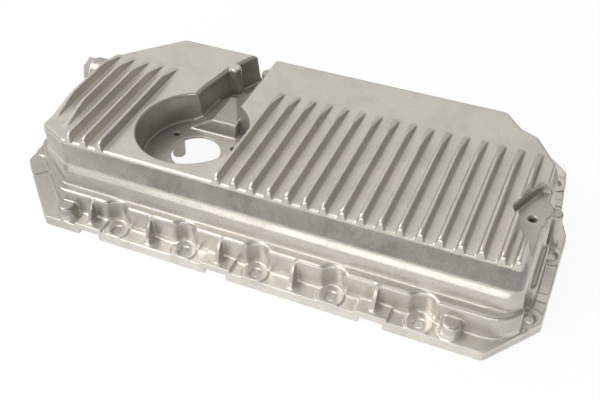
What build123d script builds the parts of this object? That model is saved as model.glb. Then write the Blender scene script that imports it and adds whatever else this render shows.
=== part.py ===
"""Die-cast aluminium engine oil pan, lying upside down on its sealing flange.

The sealing face is at z = 0 and the pan's floor, here called the deck, faces up.
X runs along the engine, Y across it, and the origin is the centre of the sealing face.
Three pieces: the casting, its drain plug and the plug's sealing ring. All lengths are in millimetres.
"""

import os
from math import atan2, cos, degrees, floor, radians, sin, tan

from build123d import *

# ---------------------------------------------------------------------------
# Driving dimensions
# ---------------------------------------------------------------------------

# Sealing flange: overall size, and how much each corner is cut off along X and Y
flange_length = 442.0
flange_width = 223.0
flange_thickness = 8.0
flange_corner_radius = 6.0
lip_height = 3.0
lip_depth = 0.8
front_left_cut_x = 55.5
front_left_cut_y = 54.0
front_right_cut_x = 31.0
front_right_cut_y = 40.0
back_left_cut = 75.0
back_right_cut = 14.5
right_step_depth = 8.5
right_step_run = 22.0
right_step_from_back = 67.0
right_lean = 5.0
right_lean_from_back = 14.7

# Casting: wall, and the flange width left outside the wall's foot on each side
wall = 4.0
foot_margin_front = 13.5
foot_margin_right = 9.5
foot_margin_left = 16.0
foot_margin_back = 20.0

# Side wall in section: heights, and how far the front wall stands in from its foot
deck_height = 69.0
ledge_height = 29.5
ledge_radius = 3.2
shoulder_height = 40.0
shoulder_rise = 7.1
ledge_depth = 8.5
skirt_lean = 0.3
shoulder_depth = 4.3
upper_wall_lean = 0.4
end_lean_left = 25.5
end_lean_right = 7.5
end_chamfer_width = 4.5
end_chamfer_depth = 8.0

# Side wall in plan: corner radii at the foot and at the deck, and the cut corners on the left
foot_radius = 12.0
deck_radius = 6.0
front_right_foot_radius = 27.0
front_right_deck_radius = 5.5
foot_left_cut_x = 48.0
foot_left_cut_y = 45.0
deck_left_cut_x = 26.0
deck_left_cut_y = 11.5
foot_back_left_cut = 61.5
deck_back_left_cut = 45.5
deck_edge_radius = 3.0

# Back right corner in plan, from the corner: a long cut, a knee and a step, at foot and deck
foot_cut_along_side = 77.5
foot_knee_in = 9.5
foot_knee_along = 45.0
foot_step_in = 14.0
foot_step_along = 14.0
foot_cut_along_back = 34.0
deck_cut_along_side = 54.0
deck_knee_in = 22.0
deck_knee_along = 22.5
deck_step_in = 35.5
deck_step_along = 17.0
deck_cut_along_back = 51.0

# Bolt holes in the flange
bolt_hole_radius = 3.8
hole_chamfer = 1.1
countersink_angle = 90.0
bolt_pad_radius = 10.5
bolt_pad_rise = 1.2
bolt_inset = 8.3
scallop_radius = 10.2
scallop_blend_radius = 5.0
first_bolt_from_left = 118.0
bolt_pitch = 59.8
last_bolt_from_right = 78.8
side_bolt_spacing = 66.0
side_bolt_inset = 8.3
side_bolt_skew = 1.0
right_bolt_from_front = 41.6
left_bolt_from_cut = 18.0
corner_bolt_inset_x = 20.0
corner_bolt_inset_y = 32.5

# Gusset ribs and rounded bosses on the flange
gusset_width = 3.2
gusset_foot_gap = 4.5
gusset_curve_radius = 30.0
end_gusset_offset = 22.0
boss_radius = 8.0
boss_top = 20.0
boss_top_radius = 3.0
boss_front_gap = 1.5
boss_taper = 2.0
boss_offset_left = 45.0
boss_offset_right = 22.0
end_boss_radius = 5.5
end_boss_top = 40.0
end_boss_from_right = 11.5
end_boss_from_back = 102.3

# Low blocks that cross the flange at the ends
cross_block_width = 9.5
cross_block_length = 32.0
cross_block_from_front = 63.9
cross_block_from_back = 55.5
cross_block_along_cut = 19.5

# Pry slots under the flange, each with a raised block over it
pry_width = 18.0
pry_height = 4.5
pry_depth = 9.0
pry_block_width = 24.0
pry_block_rise = 2.6

# Cooling fins on the deck
fin_height = 7.0
fin_base = 5.2
fin_top = 2.6
fin_pitch = 13.86
fin_nose_radius = 6.5
fin_crest_radius = 30.0
fin_ramp = 25.0
fin_tail_from_back = 43.0
fin_first_from_left = 4.6
fin_left_gap = 3.5
fin_right_gap = 4.5
fin_end_gap = 12.0
corner_fin_start = 20.5
corner_fin_step = 7.0
corner_fin_ramp = 30.0
stub_fin_from_right = 6.5
stub_fin_length = 38.0

# Round recess for the oil level sensor
recess_from_left = 153.0
recess_from_front = 80.2
recess_radius = 43.0
recess_depth = 26.0
recess_draft = 2.0
recess_edge_radius = 2.5
recess_floor_thickness = 2.2
sensor_hole_radius = 19.7
sensor_screw_circle = 59.8
sensor_screw_count = 3
sensor_screw_radius = 2.5
sensor_screw_angle = 30.0
sensor_boss_radius = 6.5
sensor_boss_height = 21.0
sensor_boss_taper = 3.0

# Valley from the recess to the back edge, measured across from the recess's centre
valley_left = 20.5
valley_middle_left = 16.5
valley_bend_left = 9.0
valley_back_right = 3.5
valley_right = 22.0
valley_middle_from_back = 58.0
valley_bend_from_back = 24.0
valley_draft = 5.0
valley_edge_chamfer = 2.0
valley_edge_slope = 45.0

# Column on the valley's left wall and the lower post on its right wall
column_radius = 5.2
column_from_left_wall = 15.0
column_from_recess = 86.0
column_top_radius = 2.0
post_radius = 5.0
post_drop = 2.5
post_from_column = 5.2

# Block in the valley's mouth, with a sloped front, a sloped left flank and a rising right side
block_front = 26.0
block_front_slope = 22.0
block_height = 11.0
block_flank_run = 20.5
block_length = 39.0
rise_turn = 26.6
rise_slope = 38.0

# Mounting pad sunk into the deck at the right end, with its tapped hole
pad_depth = 8.0
pad_tip = 14.0
pad_shoulder_in = 6.0
pad_shoulder_along = 18.5
pad_back_length = 31.0
pad_front_width = 5.0
pad_front_length = 36.0
pad_edge_draft = 6.0
pad_corner_radius = 3.0
pad_hole_radius = 2.6
pad_hole_depth = 16.0
pad_hole_from_right = 24.6
pad_hole_from_back = 138.5

# Two bosses that run together under the pad: one round its hole, the other behind it
pad_boss_radius = 10.0
second_boss_radius = 12.0
second_boss_along = 12.0

# Drain boss, plug and sealing ring on the left end wall
drain_height = 52.0
drain_from_back = 84.5
drain_boss_radius = 12.0
drain_boss_face_from_left = 24.0
drain_boss_length = 24.0
plug_thread_radius = 7.0
plug_thread_gap = 0.05
plug_thread_length = 17.0
plug_across_flats = 19.0
plug_head_sides = 6
plug_head_height = 6.5
plug_head_chamfer = 0.8
plug_head_turn = 14.0
ring_outer_radius = 10.3
ring_clearance = 0.2
ring_thickness = 1.6

# ---------------------------------------------------------------------------
# Places worked out from the driving dimensions
# ---------------------------------------------------------------------------

flange_left = -flange_length / 2
flange_right = flange_length / 2
flange_front = -flange_width / 2
flange_back = flange_width / 2

foot_left = flange_left + foot_margin_left
foot_right = flange_right - foot_margin_right
foot_front = flange_front + foot_margin_front
foot_back = flange_back - foot_margin_back

# Inset of the front wall at each level, from the ledge up to the deck
insets = [ledge_depth, skirt_lean, shoulder_depth, upper_wall_lean]
front_lean = sum(insets)
level_heights = [ledge_height, shoulder_height, shoulder_height + shoulder_rise, deck_height]
level_shares = [sum(insets[: index + 1]) / front_lean for index in range(len(insets))]

deck_left = foot_left + end_lean_left
deck_right = foot_right - end_lean_right
deck_front = foot_front + front_lean
deck_back = foot_back - front_lean

recess_x = flange_left + recess_from_left
recess_y = flange_front + recess_from_front
recess_floor = deck_height - recess_depth
screw_ring_radius = sensor_screw_circle / 2
pad_floor = deck_height - pad_depth
fin_crest = deck_height + fin_height
root_height = ledge_height - 2 * wall

# Corners of the wall's outline, counter-clockwise from the front left, at the foot and at the deck
foot_corners = [
    (foot_left + foot_left_cut_x, foot_front),
    (foot_right, foot_front),
    (foot_right, foot_back - foot_cut_along_side),
    (foot_right - foot_knee_in, foot_back - foot_knee_along),
    (foot_right - foot_step_in, foot_back - foot_step_along),
    (foot_right - foot_cut_along_back, foot_back),
    (foot_left + foot_back_left_cut, foot_back),
    (foot_left, foot_back - foot_back_left_cut),
    (foot_left, foot_front + foot_left_cut_y),
]
deck_corners = [
    (deck_left + deck_left_cut_x, deck_front),
    (deck_right, deck_front),
    (deck_right, deck_back - deck_cut_along_side),
    (deck_right - deck_knee_in, deck_back - deck_knee_along),
    (deck_right - deck_step_in, deck_back - deck_step_along),
    (deck_right - deck_cut_along_back, deck_back),
    (deck_left + deck_back_left_cut, deck_back),
    (deck_left, deck_back - deck_back_left_cut),
    (deck_left, deck_front + deck_left_cut_y),
]
front_right_index = 1


def between(start, end, share):
    """Value that runs from start to end as share runs from 0 to 1."""
    return start + (end - start) * share


def wall_corners(share):
    """Corners of the wall's outline: share is 0 at the foot and 1 at the deck."""
    return [
        (between(foot[0], deck[0], share), between(foot[1], deck[1], share))
        for foot, deck in zip(foot_corners, deck_corners)
    ]


def wall_radii(share):
    """Corner radii of the wall's outline, with the front right corner rounder at its foot."""
    radii = [between(foot_radius, deck_radius, share) for _ in foot_corners]
    radii[front_right_index] = between(front_right_foot_radius, front_right_deck_radius, share)
    return radii


# Bolt holes: the front row, the same row at the back, and one or two at each end
first_bolt_x = flange_left + first_bolt_from_left
last_bolt_x = flange_right - last_bolt_from_right
pitch_count = floor((last_bolt_x - first_bolt_x) / bolt_pitch)
bolt_row = [first_bolt_x + bolt_pitch * index for index in range(pitch_count)] + [last_bolt_x]
front_bolts = [(x, flange_front + bolt_inset) for x in bolt_row]
back_bolts = [(x, flange_back - bolt_inset) for x in bolt_row]
right_bolt_x = flange_right - side_bolt_inset
right_bolt_y = flange_front + right_bolt_from_front
left_bolt_x = flange_left + side_bolt_inset
left_bolt_y = flange_front + front_left_cut_y + left_bolt_from_cut
right_bolts = [
    (right_bolt_x - side_bolt_skew, right_bolt_y),
    (right_bolt_x + side_bolt_skew, right_bolt_y + side_bolt_spacing),
    (flange_right - corner_bolt_inset_x, flange_back - corner_bolt_inset_y),
]
left_bolts = [(left_bolt_x, left_bolt_y), (left_bolt_x, left_bolt_y + side_bolt_spacing)]
scalloped_bolts = front_bolts + right_bolts
all_bolts = scalloped_bolts + back_bolts + left_bolts

# Gusset ribs stand half-way between bolts; every other one rises from a pry block
gusset_row = [(bolt_row[index] + bolt_row[index + 1]) / 2 for index in range(len(bolt_row) - 1)]
gusset_row.insert(0, bolt_row[0] - end_gusset_offset)
pry_row = gusset_row[::2]
boss_row = [bolt_row[0] - boss_offset_left, bolt_row[-1] + boss_offset_right]
boss_y = flange_front + boss_front_gap + boss_radius
end_boss_x = flange_right - end_boss_from_right
end_boss_y = flange_back - end_boss_from_back
cut_turn = degrees(atan2(front_left_cut_x, front_left_cut_y))
cross_block_places = [
    Location((foot_right, flange_front + cross_block_from_front, 0)),
    Location((foot_right, flange_back - cross_block_from_back, 0)),
    Location(
        (
            flange_left + cross_block_along_cut * sin(radians(cut_turn)),
            flange_front + front_left_cut_y - cross_block_along_cut * cos(radians(cut_turn)),
            0,
        ),
        (0, 0, cut_turn),
    ),
]

# Fins: x of each fin's middle, and where the fins end at the back
left_fin_start = deck_left + fin_first_from_left
left_fin_space = recess_x - recess_radius - fin_left_gap - left_fin_start
left_fin_count = floor(left_fin_space / fin_pitch) + 1
left_fins = [left_fin_start + fin_pitch * index for index in range(left_fin_count)]
right_fin_start = recess_x + recess_radius + fin_right_gap
right_fin_space = deck_right - fin_end_gap - right_fin_start
right_fin_count = floor(right_fin_space / fin_pitch) + 1
right_fins = [right_fin_start + fin_pitch * index for index in range(right_fin_count)]
stub_fin_x = deck_right - stub_fin_from_right
fin_tail = deck_back - fin_tail_from_back

column_y = recess_y + column_from_recess
column_x = recess_x - valley_left + column_from_left_wall
post_x = recess_x + valley_right
post_y = column_y + post_from_column
pad_hole_x = flange_right - pad_hole_from_right
pad_hole_y = flange_back - pad_hole_from_back
drain_y = flange_back - drain_from_back
drain_face_x = flange_left + drain_boss_face_from_left
drain_plane = Plane(origin=(drain_face_x, drain_y, drain_height), z_dir=(1, 0, 0))

# Valley in plan, from the recess's middle to past the back wall
past_back = foot_back + wall
valley_points = [
    (recess_x - valley_left, recess_y),
    (recess_x + valley_right, recess_y),
    (recess_x + valley_right, past_back),
    (recess_x + valley_back_right, past_back),
    (recess_x + valley_back_right, deck_back),
    (recess_x - valley_bend_left, deck_back - valley_bend_from_back),
    (recess_x - valley_middle_left, deck_back - valley_middle_from_back),
]

# Pad in plan: a tip to the left, and a right side that runs out through the end wall
past_right = foot_right + wall
pad_points = [
    (pad_hole_x - pad_tip, pad_hole_y),
    (pad_hole_x - pad_shoulder_in, pad_hole_y + pad_shoulder_along),
    (pad_hole_x, pad_hole_y + pad_back_length),
    (past_right, pad_hole_y + pad_back_length),
    (past_right, pad_hole_y - pad_front_length),
    (pad_hole_x + pad_front_width, pad_hole_y - pad_front_length),
]

# ---------------------------------------------------------------------------
# Valley: the room it takes out of the casting
# ---------------------------------------------------------------------------

with BuildPart() as valley:
    with BuildSketch(Plane.XY.offset(fin_crest)):
        with BuildLine():
            Polyline(*valley_points, close=True)
        make_face()
    extrude(amount=recess_floor - fin_crest, taper=valley_draft)
    with BuildSketch(Plane.XY.offset(deck_height - valley_edge_chamfer)):
        with BuildLine():
            Polyline(*valley_points, close=True)
        make_face()
    extrude(amount=2 * valley_edge_chamfer, taper=-valley_edge_slope)

# ---------------------------------------------------------------------------
# Recess: the round room for the oil level sensor, about x = y = 0, with a rounded rim
# ---------------------------------------------------------------------------

rim_height = deck_height - recess_edge_radius
rim_radius = recess_radius + (rim_height - recess_floor) * tan(radians(recess_draft))

with BuildPart() as recess:
    with BuildSketch(Plane.XZ):
        with BuildLine():
            Polyline((rim_radius, rim_height), (recess_radius, recess_floor), (0, recess_floor))
            Polyline(
                (0, recess_floor),
                (0, fin_crest),
                (rim_radius + recess_edge_radius, fin_crest),
                (rim_radius + recess_edge_radius, deck_height),
            )
            RadiusArc(
                (rim_radius + recess_edge_radius, deck_height),
                (rim_radius, rim_height),
                -recess_edge_radius,
            )
        make_face()
    revolve(axis=Axis.Z)

# ---------------------------------------------------------------------------
# Cavity: the hollow inside the casting
# ---------------------------------------------------------------------------

with BuildPart() as cavity:
    # Below the ledge, one wall thickness in from the foot
    with BuildSketch():
        with BuildLine():
            FilletPolyline(*wall_corners(0), radius=wall_radii(0), close=True)
        make_face()
        offset(amount=-wall)
    extrude(amount=ledge_height - wall)

    # Above it, one wall thickness in from each level of the wall
    for share, height in zip(level_shares, level_heights):
        with BuildSketch(Plane.XY.offset(height - wall)):
            with BuildLine():
                FilletPolyline(*wall_corners(share), radius=wall_radii(share), close=True)
            make_face()
            offset(amount=-wall)
    loft(ruled=True)

    # Wall left standing behind each scallop
    with BuildSketch():
        with Locations(*front_bolts):
            Circle(scallop_radius + wall)
    extrude(amount=ledge_height, mode=Mode.SUBTRACT)
    with BuildSketch():
        with Locations(*right_bolts):
            Circle(scallop_radius + wall)
    extrude(amount=shoulder_height + wall, mode=Mode.SUBTRACT)

    # Cup round the sensor recess, with a boss under each tapped hole
    with BuildSketch(Plane.XY.offset(recess_floor - recess_floor_thickness)):
        with Locations((recess_x, recess_y)):
            Circle(recess_radius + wall)
    extrude(amount=deck_height, mode=Mode.SUBTRACT)
    with BuildSketch(Plane.XY.offset(recess_floor)):
        with Locations((recess_x, recess_y)):
            with PolarLocations(screw_ring_radius, sensor_screw_count, start_angle=sensor_screw_angle):
                Circle(sensor_boss_radius)
    extrude(amount=-sensor_boss_height, taper=sensor_boss_taper, mode=Mode.SUBTRACT)

    # Walls and floor of the valley
    with BuildSketch(Plane.XY.offset(recess_floor - recess_floor_thickness)):
        with BuildLine():
            Polyline(*valley_points, close=True)
        make_face()
        offset(amount=wall)
    extrude(amount=deck_height, mode=Mode.SUBTRACT)

    # Pad's floor and the long boss under it
    with BuildSketch(Plane.XY.offset(pad_floor - wall)):
        with BuildLine():
            Polyline(*pad_points, close=True)
        make_face()
        offset(amount=2 * wall)
    extrude(amount=deck_height, mode=Mode.SUBTRACT)
    with BuildSketch():
        with Locations((pad_hole_x, pad_hole_y)):
            Circle(pad_boss_radius)
        with Locations((pad_hole_x, pad_hole_y + second_boss_along)):
            Circle(second_boss_radius)
    extrude(amount=deck_height, mode=Mode.SUBTRACT)

    # Drain boss where it passes through the wall
    with BuildSketch(drain_plane):
        Circle(drain_boss_radius)
    extrude(amount=drain_boss_length, mode=Mode.SUBTRACT)

# ---------------------------------------------------------------------------
# Cooling fins
# ---------------------------------------------------------------------------


def fin(front, back, nose):
    """Fin at x = 0 from y = front to y = back, with a ramp of length nose at its front."""
    root = deck_height - wall
    crest_corners = [
        (back, deck_height),
        (back - fin_ramp, fin_crest),
        (front + nose, fin_crest),
    ]
    crest_radii = [0, fin_crest_radius, fin_nose_radius]
    if nose > 0:
        crest_corners.append((front, deck_height))
        crest_radii = [0, fin_crest_radius, fin_crest_radius, 0]
    with BuildPart() as solid:
        with BuildSketch(Plane.XZ.offset(-back)):
            with BuildLine():
                Polyline(
                    (-fin_base / 2, root),
                    (fin_base / 2, root),
                    (fin_base / 2, deck_height),
                    (fin_top / 2, fin_crest),
                    (-fin_top / 2, fin_crest),
                    (-fin_base / 2, deck_height),
                    close=True,
                )
            make_face()
        extrude(amount=back - front)
        with BuildSketch(Plane.YZ.offset(-fin_base)):
            with BuildLine():
                FilletPolyline(
                    (front, root),
                    (back, root),
                    *crest_corners,
                    radius=(0, 0, *crest_radii),
                    close=True,
                )
            make_face()
        extrude(amount=2 * fin_base, mode=Mode.INTERSECT)
    return solid.part


long_fin = fin(deck_front, fin_tail, 0)
stub_fin = fin(deck_front, deck_front + stub_fin_length, 0)
first_corner_fin = fin(deck_front + corner_fin_start, fin_tail, corner_fin_ramp)
second_corner_fin = fin(deck_front + corner_fin_start - corner_fin_step, fin_tail, corner_fin_ramp)

# ---------------------------------------------------------------------------
# Rounded boss on the flange, and the column in the valley, each standing at x = y = 0
# ---------------------------------------------------------------------------

with BuildPart() as round_boss:
    with BuildSketch():
        Circle(boss_radius)
        with Locations((0, (foot_front + wall - boss_y) / 2)):
            Rectangle(2 * boss_radius, foot_front + wall - boss_y)
    extrude(amount=boss_top, taper=boss_taper)
    fillet(faces().sort_by(Axis.Z)[-1].edges(), radius=boss_top_radius)

with BuildPart() as column:
    with BuildSketch(Plane.XY.offset(recess_floor - wall / 2)):
        Circle(column_radius)
    extrude(amount=recess_depth + wall / 2)
    fillet(faces().sort_by(Axis.Z)[-1].edges(), radius=column_top_radius)

# ---------------------------------------------------------------------------
# Block in the valley's mouth
# ---------------------------------------------------------------------------

block_y = recess_y + block_front
block_left = recess_x - valley_left
block_right = recess_x + valley_right
block_top = recess_floor + block_height
turn = radians(rise_turn)
slope = radians(rise_slope)
block_slope = Plane(
    origin=(recess_x, block_y, recess_floor),
    x_dir=(1, 0, 0),
    z_dir=(0, cos(radians(block_front_slope)), -sin(radians(block_front_slope))),
)

with BuildPart() as block:
    with BuildSketch(Plane.XZ.offset(-block_y)):
        with BuildLine():
            Polyline(
                (block_left, recess_floor - wall / 2),
                (block_right, recess_floor - wall / 2),
                (block_right, block_top),
                (block_left + block_flank_run, block_top),
                (block_left, recess_floor),
                close=True,
            )
        make_face()
    extrude(amount=-block_length)
    split(bisect_by=block_slope, keep=Keep.TOP)

with BuildPart() as rise:
    with BuildSketch(Plane.XZ.offset(-block_y)):
        with BuildLine():
            Polyline(
                (block_left, recess_floor - wall / 2),
                (block_right, recess_floor - wall / 2),
                (block_right, deck_height),
                (block_right - wall, deck_height),
                (block_left, recess_floor),
                close=True,
            )
        make_face()
    extrude(amount=-block_length)
    split(bisect_by=block_slope, keep=Keep.TOP)
    rising_side = Plane(
        origin=(block_right, block_y + wall, block_top),
        x_dir=(-sin(turn), cos(turn), 0),
        z_dir=(-sin(slope) * cos(turn), -sin(slope) * sin(turn), cos(slope)),
    )
    split(bisect_by=rising_side, keep=Keep.BOTTOM)

# ---------------------------------------------------------------------------
# Casting
# ---------------------------------------------------------------------------

flange_points = [
    (flange_left + front_left_cut_x, flange_front),
    (flange_right - front_right_cut_x, flange_front),
    (flange_right, flange_front + front_right_cut_y),
    (flange_right, flange_back - right_step_from_back - right_step_run),
    (flange_right - right_step_depth, flange_back - right_step_from_back),
    (flange_right - right_step_depth - right_lean, flange_back - right_lean_from_back),
    (flange_right - right_step_depth - right_lean - back_right_cut, flange_back),
    (flange_left + back_left_cut, flange_back),
    (flange_left, flange_back - back_left_cut),
    (flange_left, flange_front + front_left_cut_y),
]

with BuildPart() as oil_pan:
    # Lower wall up to the ledge, waved round the bolt heads
    with BuildSketch():
        with BuildLine():
            FilletPolyline(*wall_corners(0), radius=wall_radii(0), close=True)
        make_face()
        uncut = vertices()
        with Locations(*scalloped_bolts):
            Circle(scallop_radius, mode=Mode.SUBTRACT)
        fillet(vertices() - uncut, radius=scallop_blend_radius)
    extrude(amount=ledge_height)
    fillet(faces().sort_by(Axis.Z)[-1].outer_wire().edges(), radius=ledge_radius)

    # Upper wall with its deck, rooted a little below the ledge
    for share, height in zip([level_shares[0], *level_shares], [root_height, *level_heights]):
        with BuildSketch(Plane.XY.offset(height)):
            with BuildLine():
                FilletPolyline(*wall_corners(share), radius=wall_radii(share), close=True)
            make_face()
    loft(ruled=True)
    fillet(faces().sort_by(Axis.Z)[-1].edges(), radius=deck_edge_radius)

    # Long chamfer where the deck meets the right end wall
    with BuildSketch(Plane.XZ.offset(-foot_back)):
        with BuildLine():
            Polyline(
                (deck_right - end_chamfer_width, deck_height),
                (deck_right + end_chamfer_width, deck_height),
                (deck_right + end_chamfer_width, deck_height - 2 * end_chamfer_depth),
                close=True,
            )
        make_face()
    extrude(amount=foot_back - foot_front, mode=Mode.SUBTRACT)

    # Room above the end bolts
    with BuildSketch(Plane.XY.offset(flange_thickness)):
        with Locations(*right_bolts):
            Circle(scallop_radius)
    extrude(amount=shoulder_height - flange_thickness, mode=Mode.SUBTRACT)

    # Flange, with a lower lip
    with BuildSketch():
        with BuildLine():
            FilletPolyline(*flange_points, radius=flange_corner_radius, close=True)
        make_face()
    extrude(amount=lip_height)
    with BuildSketch():
        with BuildLine():
            FilletPolyline(*flange_points, radius=flange_corner_radius, close=True)
        make_face()
        offset(amount=-lip_depth)
    extrude(amount=flange_thickness)

    # Raised blocks over the pry slots, the bolt pads and the low blocks at the ends
    with BuildSketch():
        with Locations(*[(x, (flange_front + foot_front) / 2 + lip_depth) for x in pry_row]):
            Rectangle(pry_block_width, foot_margin_front)
    extrude(amount=flange_thickness + pry_block_rise)
    with BuildSketch():
        with Locations(*all_bolts):
            Circle(bolt_pad_radius)
        with Locations(*cross_block_places):
            Rectangle(cross_block_length, cross_block_width)
        with BuildLine():
            FilletPolyline(*flange_points, radius=flange_corner_radius, close=True)
        make_face(mode=Mode.INTERSECT)
        offset(amount=-lip_depth)
    extrude(amount=flange_thickness + bolt_pad_rise)

    # Gusset ribs from the ledge down to the flange
    rib_foot = (flange_front + gusset_foot_gap, flange_thickness)
    rib_heel = (foot_front + wall, flange_thickness)
    rib_back = (foot_front + wall, ledge_height)
    rib_top = (foot_front + ledge_radius / 2, ledge_height)
    for x in gusset_row:
        with BuildSketch(Plane.YZ.offset(x - gusset_width / 2)):
            with BuildLine():
                Polyline(rib_foot, rib_heel, rib_back, rib_top)
                RadiusArc(rib_top, rib_foot, -gusset_curve_radius)
            make_face()
        extrude(amount=gusset_width)

    # Rounded bosses at both ends of the front row, and a slim one on the right end wall
    with Locations(*[(x, boss_y, 0) for x in boss_row]):
        add(round_boss.part)
    with BuildSketch():
        with Locations((end_boss_x, end_boss_y)):
            Circle(end_boss_radius)
    extrude(amount=end_boss_top)

    # Bosses under the mounting pad, and the drain boss
    with BuildSketch():
        with Locations((pad_hole_x, pad_hole_y)):
            Circle(pad_boss_radius)
        with Locations((pad_hole_x, pad_hole_y + second_boss_along)):
            Circle(second_boss_radius)
    extrude(amount=pad_floor)
    with BuildSketch(drain_plane):
        Circle(drain_boss_radius)
    extrude(amount=drain_boss_length)

    # Fins
    with Locations((left_fins[0], 0, 0)):
        add(first_corner_fin)
    with Locations((left_fins[1], 0, 0)):
        add(second_corner_fin)
    with Locations(*[(x, 0, 0) for x in left_fins[2:] + right_fins]):
        add(long_fin)
    with Locations((stub_fin_x, 0, 0)):
        add(stub_fin)

    # Hollow inside
    add(cavity.part, mode=Mode.SUBTRACT)

    # Round recess and valley
    with Locations((recess_x, recess_y, 0)):
        add(recess.part, mode=Mode.SUBTRACT)
    add(valley.part, mode=Mode.SUBTRACT)

    # Block in the valley's mouth, with the column to its left and the post to its right
    add(block.part)
    add(rise.part)
    with Locations((column_x, column_y, 0)):
        add(column.part)
    with BuildSketch(Plane.XY.offset(recess_floor - wall / 2)):
        with Locations((post_x, post_y)):
            Circle(post_radius)
    extrude(amount=deck_height - post_drop - recess_floor + wall / 2)

    # Mounting pad, sunk into the deck
    with BuildSketch(Plane.XY.offset(pad_floor)):
        with BuildLine():
            FilletPolyline(*pad_points, radius=pad_corner_radius, close=True)
        make_face()
    extrude(amount=pad_depth + fin_height, taper=-pad_edge_draft, mode=Mode.SUBTRACT)

    # Holes: sensor, its screws, the pad's screw, the bolts and the drain
    with Locations((recess_x, recess_y, recess_floor)):
        Hole(sensor_hole_radius, depth=2 * wall)
        with PolarLocations(screw_ring_radius, sensor_screw_count, start_angle=sensor_screw_angle):
            Hole(sensor_screw_radius, depth=sensor_boss_height)
    with Locations((pad_hole_x, pad_hole_y, pad_floor)):
        CounterSinkHole(
            pad_hole_radius,
            pad_hole_radius + hole_chamfer,
            depth=pad_hole_depth,
            counter_sink_angle=countersink_angle,
        )
    with Locations(*[(x, y, flange_thickness + bolt_pad_rise) for x, y in all_bolts]):
        CounterSinkHole(
            bolt_hole_radius,
            bolt_hole_radius + hole_chamfer,
            depth=flange_thickness + bolt_pad_rise,
            counter_sink_angle=countersink_angle,
        )
    with BuildSketch(drain_plane):
        Circle(plug_thread_radius)
    extrude(amount=drain_boss_length, mode=Mode.SUBTRACT)

    # Pry slots
    with BuildSketch():
        with Locations(*[(x, flange_front) for x in pry_row]):
            Rectangle(pry_width, 2 * pry_depth)
    extrude(amount=pry_height, mode=Mode.SUBTRACT)

# ---------------------------------------------------------------------------
# Drain plug and sealing ring
# ---------------------------------------------------------------------------

outward = Plane(origin=(drain_face_x - ring_thickness, drain_y, drain_height), z_dir=(-1, 0, 0))

with BuildPart() as sealing_ring:
    with BuildSketch(outward):
        Circle(ring_outer_radius)
        Circle(plug_thread_radius + ring_clearance, mode=Mode.SUBTRACT)
    extrude(amount=-ring_thickness)

with BuildPart() as drain_plug:
    with BuildSketch(outward):
        RegularPolygon(
            plug_across_flats / 2,
            plug_head_sides,
            major_radius=False,
            rotation=plug_head_turn,
        )
    extrude(amount=plug_head_height)
    chamfer(faces().sort_by(Axis.X)[0].edges(), plug_head_chamfer)
    with BuildSketch(outward):
        Circle(plug_thread_radius - plug_thread_gap)
    extrude(amount=-plug_thread_length - ring_thickness)

oil_pan.part.label = "oil_pan"
drain_plug.part.label = "drain_plug"
sealing_ring.part.label = "sealing_ring"

os.makedirs("parts", exist_ok=True)
export_step(oil_pan.part, "parts/oil_pan.step")
export_step(drain_plug.part, "parts/drain_plug.step")
export_step(sealing_ring.part, "parts/sealing_ring.step")
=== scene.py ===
"""Die-cast aluminium engine oil pan, lying on its sealing flange with its finned floor up."""

import bmesh
import bpy
from mathutils import Matrix, Vector


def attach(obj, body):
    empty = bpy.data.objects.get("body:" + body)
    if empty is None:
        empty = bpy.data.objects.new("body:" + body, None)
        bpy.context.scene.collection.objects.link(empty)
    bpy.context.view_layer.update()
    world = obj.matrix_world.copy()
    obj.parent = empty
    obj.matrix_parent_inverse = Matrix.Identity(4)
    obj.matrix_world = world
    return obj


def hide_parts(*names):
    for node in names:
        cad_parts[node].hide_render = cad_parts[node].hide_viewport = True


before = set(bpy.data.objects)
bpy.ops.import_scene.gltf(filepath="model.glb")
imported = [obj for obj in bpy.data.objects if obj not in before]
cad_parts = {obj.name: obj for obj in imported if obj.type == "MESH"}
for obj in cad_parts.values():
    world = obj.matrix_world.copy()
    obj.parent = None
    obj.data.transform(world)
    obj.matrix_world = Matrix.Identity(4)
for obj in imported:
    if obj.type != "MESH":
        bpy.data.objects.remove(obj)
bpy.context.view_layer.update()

# ---------------------------------------------------------------------------
# Camera
# It stands in front and to the right of the pan, and looks down on the fins
# and along the front row of bolts.
# ---------------------------------------------------------------------------

camera_place = Vector((0.2259, -0.4805, 0.4741))
camera_right = Vector((0.91781709, 0.39649621, -0.02006365))
camera_up = Vector((-0.25435629, 0.62608788, 0.73710029))
camera_back = Vector((0.30481908, -0.67141993, 0.67548546))
camera_focal_pixels = 856.85
picture_width_pixels = 600
sensor_width = 36.0
nearest_seen = 0.01

camera_data = bpy.data.cameras.new("camera")
camera_data.sensor_width = sensor_width
camera_data.lens = camera_focal_pixels / picture_width_pixels * sensor_width
camera_data.clip_start = nearest_seen
camera = bpy.data.objects.new("camera", camera_data)
camera.matrix_world = Matrix.Translation(camera_place) @ Matrix(
    (camera_right, camera_up, camera_back)
).transposed().to_4x4()
bpy.context.scene.collection.objects.link(camera)
bpy.context.scene.camera = camera

# ---------------------------------------------------------------------------
# Casting
# The pan itself, one pressure die casting in an aluminium silicon alloy. It is
# left as it came out of the die: soft edges and a dull grey skin. Painted shade
# darkens its upper walls, left end and valley; painted light brightens its flange.
# ---------------------------------------------------------------------------

weld_distance = 1e-6
skin_voxel = 0.0007
skin_smoothing = 0.5
skin_smoothing_rounds = 3
skin_triangles = 195000
triangles_per_face = 2
flat_face_weight = 50

recess_middle = -0.068
recess_half_width = 0.046
recess_front = -0.0795
shoulder_bottom = 0.0365
shoulder_top = 0.0515
drain_boss_middle = 0.027
drain_boss_half_width = 0.016
drain_boss_root = -0.168
ledge_root_box = ((-0.165, -0.0906, 0.028), (0.185, -0.0862, 0.0345))
valley_block_box = ((-0.0885, -0.008, 0.0425), (-0.0455, 0.036, 0.0665))


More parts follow.
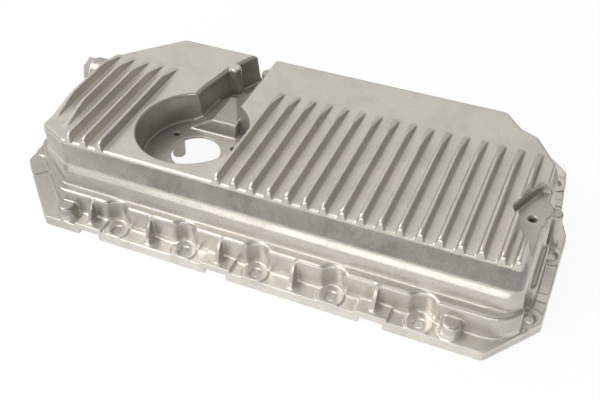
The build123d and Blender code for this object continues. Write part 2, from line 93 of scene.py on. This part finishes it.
def merged_copy(node, name):
    """New object with the node's mesh, its loose triangles joined into one surface."""
    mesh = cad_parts[node].data.copy()
    mesh.name = name
    mesh.materials.clear()
    surface = bmesh.new()
    surface.from_mesh(mesh)
    bmesh.ops.remove_doubles(surface, verts=surface.verts, dist=weld_distance)
    surface.to_mesh(mesh)
    surface.free()
    piece = bpy.data.objects.new(name, mesh)
    bpy.context.scene.collection.objects.link(piece)
    return piece


def finished_mesh(piece):
    """Applies the piece's modifiers, so that its mesh is plain."""
    graph = bpy.context.evaluated_depsgraph_get()
    mesh = bpy.data.meshes.new_from_object(piece.evaluated_get(graph))
    piece.modifiers.clear()
    piece.data = mesh
    return mesh


def soften(name, rounds, chosen):
    """Smooths the part of the casting whose points are chosen."""
    group = casting.vertex_groups.new(name=name)
    points = [point.index for point in casting.data.vertices if chosen(*point.co)]
    group.add(points, 1.0, "REPLACE")
    sweep = casting.modifiers.new(name, "SMOOTH")
    sweep.factor = skin_smoothing
    sweep.iterations = rounds
    sweep.vertex_group = name


def on_shoulder(x, y, z):
    """True on the fold half-way up the outer walls, but not on the recess or the drain boss."""
    if not shoulder_bottom < z < shoulder_top:
        return False
    off_recess = abs(x - recess_middle) > recess_half_width or y < recess_front
    off_drain_boss = abs(y - drain_boss_middle) > drain_boss_half_width or x > drain_boss_root
    return off_recess and off_drain_boss


def in_box(box):
    """Test for a point that lies between the box's two corners."""
    low, high = box
    return lambda x, y, z: low[0] < x < high[0] and low[1] < y < high[1] and low[2] < z < high[2]


casting = merged_copy("oil_pan", "casting")
remesh = casting.modifiers.new("skin", "REMESH")
remesh.mode = "VOXEL"
remesh.voxel_size = skin_voxel
smooth = casting.modifiers.new("soft_edges", "SMOOTH")
smooth.factor = skin_smoothing
smooth.iterations = skin_smoothing_rounds
finished_mesh(casting)

# The outer walls fold in one soft sweep, the front wall meets its ledge in a
# hollow curve, and the block in the valley has rounded edges
soften("shoulder", rounds=40, chosen=on_shoulder)
soften("ledge_root", rounds=60, chosen=in_box(ledge_root_box))
soften("valley_block", rounds=10, chosen=in_box(valley_block_box))
skin_faces = len(finished_mesh(casting).polygons)
casting.vertex_groups.clear()

thin = casting.modifiers.new("thin_out", "DECIMATE")
thin.ratio = skin_triangles / (triangles_per_face * skin_faces)
finished_mesh(casting)
casting.data.shade_smooth()
weigh = casting.modifiers.new("flat_faces", "WEIGHTED_NORMAL")
weigh.mode = "FACE_AREA"
weigh.weight = flat_face_weight
finished_mesh(casting)


def new_socket(group, name, kind, way, value=None):
    """Adds a named input or output to a shader node group."""
    socket = group.interface.new_socket(name=name, in_out=way, socket_type=kind)
    if value is not None:
        socket.default_value = value
    return socket


def add_node(tree, kind, **settings):
    """Adds a node and sets its plain settings."""
    node = tree.nodes.new(kind)
    for name, value in settings.items():
        setattr(node, name, value)
    return node


def feed(tree, socket, value):
    """Links value into the socket where it is an output, and else sets it as a plain value."""
    if hasattr(value, "node"):
        tree.links.new(value, socket)
    else:
        socket.default_value = value


def mix_colours(tree, factor, first, second, blend="MIX"):
    """Adds a colour mix; each of the three is a socket or a plain value. Returns its output."""
    node = add_node(tree, "ShaderNodeMix", data_type="RGBA", blend_type=blend)
    factor_index, first_colour_index, second_colour_index, colour_output_index = 0, 6, 7, 2
    feed(tree, node.inputs[factor_index], factor)
    feed(tree, node.inputs[first_colour_index], first)
    feed(tree, node.inputs[second_colour_index], second)
    return node.outputs[colour_output_index]


def mask_from(tree, value, low, high):
    """Adds a smooth step, 0 at low and 1 at high, also where low is the larger."""
    node = add_node(tree, "ShaderNodeMapRange", interpolation_type="SMOOTHSTEP")
    tree.links.new(value, node.inputs["Value"])
    node.inputs["From Min"].default_value = low
    node.inputs["From Max"].default_value = high
    return node.outputs["Result"]


def calculate(tree, operation, *values):
    """Adds a maths node on sockets or plain values; returns its output."""
    node = add_node(tree, "ShaderNodeMath", operation=operation)
    for socket, value in zip(node.inputs, values):
        feed(tree, socket, value)
    return node.outputs[0]


def distance_from(tree, value, middle):
    """Adds how far the value is from a middle one, to either side."""
    return calculate(tree, "ABSOLUTE", calculate(tree, "SUBTRACT", value, middle))


def within_edges(tree, mask, place, edges):
    """Narrows the mask by a smooth step from start to end along the axis of each edge."""
    for axis, start, end in edges:
        mask = calculate(tree, "MULTIPLY", mask, mask_from(tree, place[axis], start, end))
    return mask


def noise(tree, vector, scale, detail, roughness, distortion=0.0):
    """Adds a noise texture; returns its output, from 0 to 1."""
    node = add_node(tree, "ShaderNodeTexNoise")
    tree.links.new(vector, node.inputs["Vector"])
    feed(tree, node.inputs["Scale"], scale)
    node.inputs["Detail"].default_value = detail
    node.inputs["Roughness"].default_value = roughness
    node.inputs["Distortion"].default_value = distortion
    return node.outputs["Fac"]


# Group for every metal skin: clouds of tone, fine grain, and the height of the grain
grain_contrast = 0.12
cloud_roughening = 0.07

metal_skin = bpy.data.node_groups.new("metal_skin", "ShaderNodeTree")
new_socket(metal_skin, "Colour", "NodeSocketColor", "INPUT", (0.5, 0.5, 0.5, 1))
new_socket(metal_skin, "Stain colour", "NodeSocketColor", "INPUT", (0.4, 0.4, 0.4, 1))
new_socket(metal_skin, "Stain amount", "NodeSocketFloat", "INPUT", 0.5)
new_socket(metal_skin, "Stain scale", "NodeSocketFloat", "INPUT", 20.0)
new_socket(metal_skin, "Grain scale", "NodeSocketFloat", "INPUT", 900.0)
new_socket(metal_skin, "Roughness", "NodeSocketFloat", "INPUT", 0.5)
new_socket(metal_skin, "Colour", "NodeSocketColor", "OUTPUT")
new_socket(metal_skin, "Roughness", "NodeSocketFloat", "OUTPUT")
new_socket(metal_skin, "Height", "NodeSocketFloat", "OUTPUT")
skin_in = add_node(metal_skin, "NodeGroupInput").outputs
skin_out = add_node(metal_skin, "NodeGroupOutput").inputs
skin_place = add_node(metal_skin, "ShaderNodeTexCoord").outputs["Object"]
clouds = noise(
    metal_skin, skin_place, skin_in["Stain scale"], detail=5.0, roughness=0.62, distortion=0.6
)
grain = noise(metal_skin, skin_place, skin_in["Grain scale"], detail=3.0, roughness=0.5)
cloud_mask = mask_from(metal_skin, clouds, low=0.38, high=0.68)
cloud_amount = calculate(metal_skin, "MULTIPLY", cloud_mask, skin_in["Stain amount"])
stained = mix_colours(metal_skin, cloud_amount, skin_in["Colour"], skin_in["Stain colour"])
speckle = mask_from(metal_skin, grain, low=0.3, high=0.75)
grained = mix_colours(metal_skin, grain_contrast, stained, speckle, "OVERLAY")
rough = calculate(
    metal_skin, "MULTIPLY_ADD", cloud_mask, cloud_roughening, skin_in["Roughness"]
)
metal_skin.links.new(grained, skin_out["Colour"])
metal_skin.links.new(rough, skin_out["Roughness"])
metal_skin.links.new(grain, skin_out["Height"])


def metal_material(name, metallic):
    """New material whose shader is a metal."""
    material = bpy.data.materials.new(name)
    material.use_nodes = True
    shader = material.node_tree.nodes["Principled BSDF"].inputs
    shader["Metallic"].default_value = metallic
    return material


def lay_skin(tree, values, bump_strength=0.0, bump_depth=0.0):
    """Feeds a material's shader from the metal_skin group, which is placed with its own values."""
    shader = tree.nodes["Principled BSDF"].inputs
    skin = add_node(tree, "ShaderNodeGroup", node_tree=metal_skin)
    for name, value in values.items():
        feed(tree, skin.inputs[name], value)
    tree.links.new(skin.outputs["Colour"], shader["Base Color"])
    tree.links.new(skin.outputs["Roughness"], shader["Roughness"])
    if bump_strength:
        bump = add_node(tree, "ShaderNodeBump")
        bump.inputs["Strength"].default_value = bump_strength
        bump.inputs["Distance"].default_value = bump_depth
        tree.links.new(skin.outputs["Height"], bump.inputs["Height"])
        tree.links.new(bump.outputs["Normal"], shader["Normal"])


cast_colour = (0.590, 0.553, 0.492, 1)
cast_stain = (0.47, 0.443, 0.40, 1)
# Painted shade for the upper walls, and the darker blotches within it
painted_shade_colour = (0.295, 0.276, 0.250, 1)
painted_shade_blotch_colour = (0.220, 0.205, 0.185, 1)
# Painted light for the flange's rim
painted_light_flange_colour = (0.740, 0.704, 0.640, 1)
# Painted shade for the lower walls and the rim at the left end
painted_shade_end_colour = (0.415, 0.392, 0.355, 1)
# Painted shade and shadow for the valley and the sensor's seat
painted_shadow_colour = (0.300, 0.278, 0.245, 1)
zone_fade = 0.001

cast_metal = metal_material("as_cast_aluminium", metallic=0.6)
cast_tree = cast_metal.node_tree
cast_place = add_node(cast_tree, "ShaderNodeTexCoord").outputs["Object"]
parted = add_node(cast_tree, "ShaderNodeSeparateXYZ")
cast_tree.links.new(cast_place, parted.inputs[0])
along = parted.outputs
from_recess = distance_from(cast_tree, along["X"], recess_middle)

# Painted shade on the upper walls, with ragged edges, but not inside the recess and its valley
painted_shade_bottom = 0.0462
painted_shade_bottom_fade = 0.0018
painted_shade_top = 0.0668
painted_shade_top_fade = -0.0014
ragged_height = 0.0022
ragged = noise(cast_tree, cast_place, scale=160.0, detail=4.0, roughness=0.6)
ragged_z = calculate(cast_tree, "MULTIPLY_ADD", ragged, ragged_height, along["Z"])
beside = mask_from(cast_tree, from_recess, recess_half_width, recess_half_width + zone_fade)
before = mask_from(cast_tree, along["Y"], recess_front, recess_front - zone_fade)
painted_shade_mask = calculate(cast_tree, "MAXIMUM", beside, before)
for edge, fade in ((painted_shade_bottom, painted_shade_bottom_fade), (painted_shade_top, painted_shade_top_fade)):
    start = edge + ragged_height / 2
    step = mask_from(cast_tree, ragged_z, start, start + fade)
    painted_shade_mask = calculate(cast_tree, "MULTIPLY", painted_shade_mask, step)

# The painted shade is fainter towards the left end, and on the mounting pad at the right end
painted_shade_left_share = 0.45
painted_shade_left, painted_shade_right = -0.26, -0.02
pad_middle = -0.032
pad_edge, pad_inside = 0.044, 0.040
pad_root, pad_face = 0.162, 0.165
pad_fainter = 0.6
rightwards = mask_from(cast_tree, along["X"], painted_shade_left, painted_shade_right)
left_share = calculate(
    cast_tree, "MULTIPLY_ADD", rightwards, 1 - painted_shade_left_share, painted_shade_left_share
)
painted_shade_mask = calculate(cast_tree, "MULTIPLY", painted_shade_mask, left_share)
pad_x = mask_from(cast_tree, along["X"], pad_root, pad_face)
from_pad = distance_from(cast_tree, along["Y"], pad_middle)
pad_y = mask_from(cast_tree, from_pad, pad_edge, pad_inside)
pad = calculate(cast_tree, "MULTIPLY", pad_x, pad_y)
pad_share = calculate(cast_tree, "MULTIPLY_ADD", pad, -pad_fainter, 1.0)
painted_shade_mask = calculate(cast_tree, "MULTIPLY", painted_shade_mask, pad_share)

# The painted shade has darker blotches of its own, a little longer upwards
blotch_stretch = (1.0, 1.0, 0.6)
stretch = add_node(cast_tree, "ShaderNodeMapping")
stretch.inputs["Scale"].default_value = blotch_stretch
cast_tree.links.new(cast_place, stretch.inputs["Vector"])
blotches = noise(
    cast_tree, stretch.outputs["Vector"], scale=40.0, detail=6.0, roughness=0.62, distortion=0.3
)
blotch_mask = mask_from(cast_tree, blotches, low=0.40, high=0.62)
painted_shade_skin = mix_colours(cast_tree, blotch_mask, painted_shade_colour, painted_shade_blotch_colour)

# Painted shade darkens the lower walls towards the left end; the flange's rim has painted
# light, which fades to painted shade towards the left end
skirt_top, skirt_full = 0.046, 0.044
skirt_right, skirt_left = 0.04, -0.12
rim_top = 0.0125
rim_fade = 0.0015
rim_right, rim_left = -0.08, -0.21
rim = mask_from(cast_tree, along["Z"], rim_top + rim_fade, rim_top)
rim_leftwards = mask_from(cast_tree, along["X"], rim_right, rim_left)
skirt = calculate(
    cast_tree,
    "MULTIPLY",
    mask_from(cast_tree, along["Z"], skirt_top, skirt_full),
    mask_from(cast_tree, along["X"], skirt_right, skirt_left),
)
shaded_wall_colour = mix_colours(cast_tree, skirt, cast_colour, painted_shade_end_colour)
rim_light_and_shade_colour = mix_colours(cast_tree, rim_leftwards, painted_light_flange_colour, painted_shade_end_colour)
zoned = mix_colours(cast_tree, rim, shaded_wall_colour, rim_light_and_shade_colour)
zoned = mix_colours(cast_tree, painted_shade_mask, zoned, painted_shade_skin)

# Painted shade in the valley, and a fainter painted shadow on the left half of the sensor's
# seat. Each edge gives an axis, where the zone starts along it and where it is full.
valley_edges = (("Y", -0.022, -0.004), ("Z", 0.0436, 0.0446), ("Z", 0.0690, 0.0655))
seat_edges = (("X", -0.072, -0.098), ("Y", 0.0, -0.02), ("Z", 0.0450, 0.0436), ("Z", 0.04, 0.042))
valley_shade_amount = 0.85
seat_shadow_amount = 0.4
valley = mask_from(cast_tree, from_recess, recess_half_width + zone_fade, recess_half_width)
valley = within_edges(cast_tree, valley, along, valley_edges)
valley = calculate(cast_tree, "MULTIPLY", valley, valley_shade_amount)
zoned = mix_colours(cast_tree, valley, zoned, painted_shadow_colour)
seat = mask_from(cast_tree, from_recess, recess_half_width, recess_half_width - zone_fade)
seat = within_edges(cast_tree, seat, along, seat_edges)
seat = calculate(cast_tree, "MULTIPLY", seat, seat_shadow_amount)
zoned = mix_colours(cast_tree, seat, zoned, painted_shadow_colour)

cast_skin = {
    "Colour": zoned,
    "Stain colour": cast_stain,
    "Stain amount": 0.45,
    "Stain scale": 28.0,
    "Roughness": 0.29,
}
lay_skin(cast_tree, cast_skin, bump_strength=0.22, bump_depth=0.0001)
casting.data.materials.clear()
casting.data.materials.append(cast_metal)

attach(casting, "root")
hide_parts("oil_pan")

# ---------------------------------------------------------------------------
# Drain plug
# A hexagon-headed steel screw, turned and zinc plated, tightened against its
# sealing ring in the boss on the left end wall.
# ---------------------------------------------------------------------------

steel_skin = {
    "Colour": (0.52, 0.50, 0.46, 1),
    "Stain colour": (0.36, 0.345, 0.315, 1),
    "Stain amount": 0.6,
    "Stain scale": 180.0,
    "Grain scale": 2500.0,
    "Roughness": 0.27,
}
plated_steel = metal_material("zinc_plated_steel", metallic=1.0)
lay_skin(plated_steel.node_tree, steel_skin, bump_strength=0.2, bump_depth=0.00005)
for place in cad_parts["drain_plug"].material_slots:
    place.material = plated_steel

# ---------------------------------------------------------------------------
# Sealing ring
# A flat ring stamped from soft aluminium sheet, squeezed between the plug's
# head and the boss so that no oil seeps past the thread.
# ---------------------------------------------------------------------------

ring_skin = {
    "Colour": (0.72, 0.72, 0.71, 1),
    "Stain colour": (0.58, 0.58, 0.57, 1),
    "Stain amount": 0.5,
    "Stain scale": 240.0,
    "Grain scale": 1800.0,
    "Roughness": 0.38,
}
soft_aluminium = metal_material("soft_aluminium", metallic=0.9)
lay_skin(soft_aluminium.node_tree, ring_skin)
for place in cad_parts["sealing_ring"].material_slots:
    place.material = soft_aluminium

# ---------------------------------------------------------------------------
# Studio
# A white paper floor that shows as plain white, a soft key light from the upper
# left, a softbox low in front, and a dim sky that is brighter over the back left.
# ---------------------------------------------------------------------------

floor_half = 40.0
floor_drop = -0.0004
paper_colour = (0.9, 0.9, 0.9, 1)
paper_glow = 0.94

floor_mesh = bpy.data.meshes.new("floor")
floor_mesh.from_pydata(
    [
        (-floor_half, -floor_half, floor_drop),
        (floor_half, -floor_half, floor_drop),
        (floor_half, floor_half, floor_drop),
        (-floor_half, floor_half, floor_drop),
    ],
    [],
    [(0, 1, 2, 3)],
)
floor = bpy.data.objects.new("floor", floor_mesh)
bpy.context.scene.collection.objects.link(floor)
floor_paper = bpy.data.materials.new("white_paper")
floor_paper.use_nodes = True
paper_tree = floor_paper.node_tree
paper = paper_tree.nodes["Principled BSDF"]
paper.inputs["Base Color"].default_value = paper_colour
paper.inputs["Roughness"].default_value = 0.9
paper.inputs["Specular IOR Level"].default_value = 0.0
glow = add_node(paper_tree, "ShaderNodeEmission")
rays = add_node(paper_tree, "ShaderNodeLightPath").outputs
mirrored = calculate(paper_tree, "MAXIMUM", rays["Is Camera Ray"], rays["Is Glossy Ray"])
seen = calculate(paper_tree, "MAXIMUM", mirrored, rays["Is Transmission Ray"])
glow_share = calculate(paper_tree, "MULTIPLY", seen, paper_glow)
paper_mix = add_node(paper_tree, "ShaderNodeMixShader")
paper_tree.links.new(glow_share, paper_mix.inputs[0])
paper_tree.links.new(paper.outputs[0], paper_mix.inputs[1])
paper_tree.links.new(glow.outputs[0], paper_mix.inputs[2])
paper_tree.links.new(paper_mix.outputs[0], paper_tree.nodes["Material Output"].inputs["Surface"])
floor_mesh.materials.append(floor_paper)

sky_bright_side = Vector((-0.40, 0.45, 0.80))
world = bpy.data.worlds.new("studio")
bpy.context.scene.world = world
world.use_nodes = True
sky = world.node_tree
direction = add_node(sky, "ShaderNodeTexCoord")
toward_light = add_node(sky, "ShaderNodeVectorMath", operation="DOT_PRODUCT")
toward_light.inputs[1].default_value = sky_bright_side.normalized()
sky.links.new(direction.outputs["Generated"], toward_light.inputs[0])
brightness = add_node(sky, "ShaderNodeMapRange", interpolation_type="SMOOTHSTEP")
brightness.inputs["From Min"].default_value = 0.35
brightness.inputs["From Max"].default_value = 0.95
brightness.inputs["To Min"].default_value = 0.16
brightness.inputs["To Max"].default_value = 0.95
sky.links.new(toward_light.outputs["Value"], brightness.inputs["Value"])
sky.links.new(brightness.outputs["Result"], sky.nodes["Background"].inputs["Strength"])
sky.nodes["Background"].inputs["Color"].default_value = (1, 1, 1, 1)


def lamp(name, toward, distance, width, depth, power):
    """Area lamp that shines at the pan from the direction named by toward."""
    data = bpy.data.lights.new(name, "AREA")
    data.shape = "RECTANGLE"
    data.size = width
    data.size_y = depth
    data.energy = power
    light = bpy.data.objects.new(name, data)
    light.location = Vector(toward).normalized() * distance
    light.rotation_euler = (-light.location).to_track_quat("-Z", "Y").to_euler()
    bpy.context.scene.collection.objects.link(light)


lamp("key_light", toward=(-0.52, -0.36, 0.77), distance=3.0, width=1.7, depth=1.7, power=46)
lamp("front_softbox", toward=(-0.04, -0.94, 0.34), distance=1.8, width=2.4, depth=0.5, power=14)

bpy.context.scene.view_settings.view_transform = "Standard"
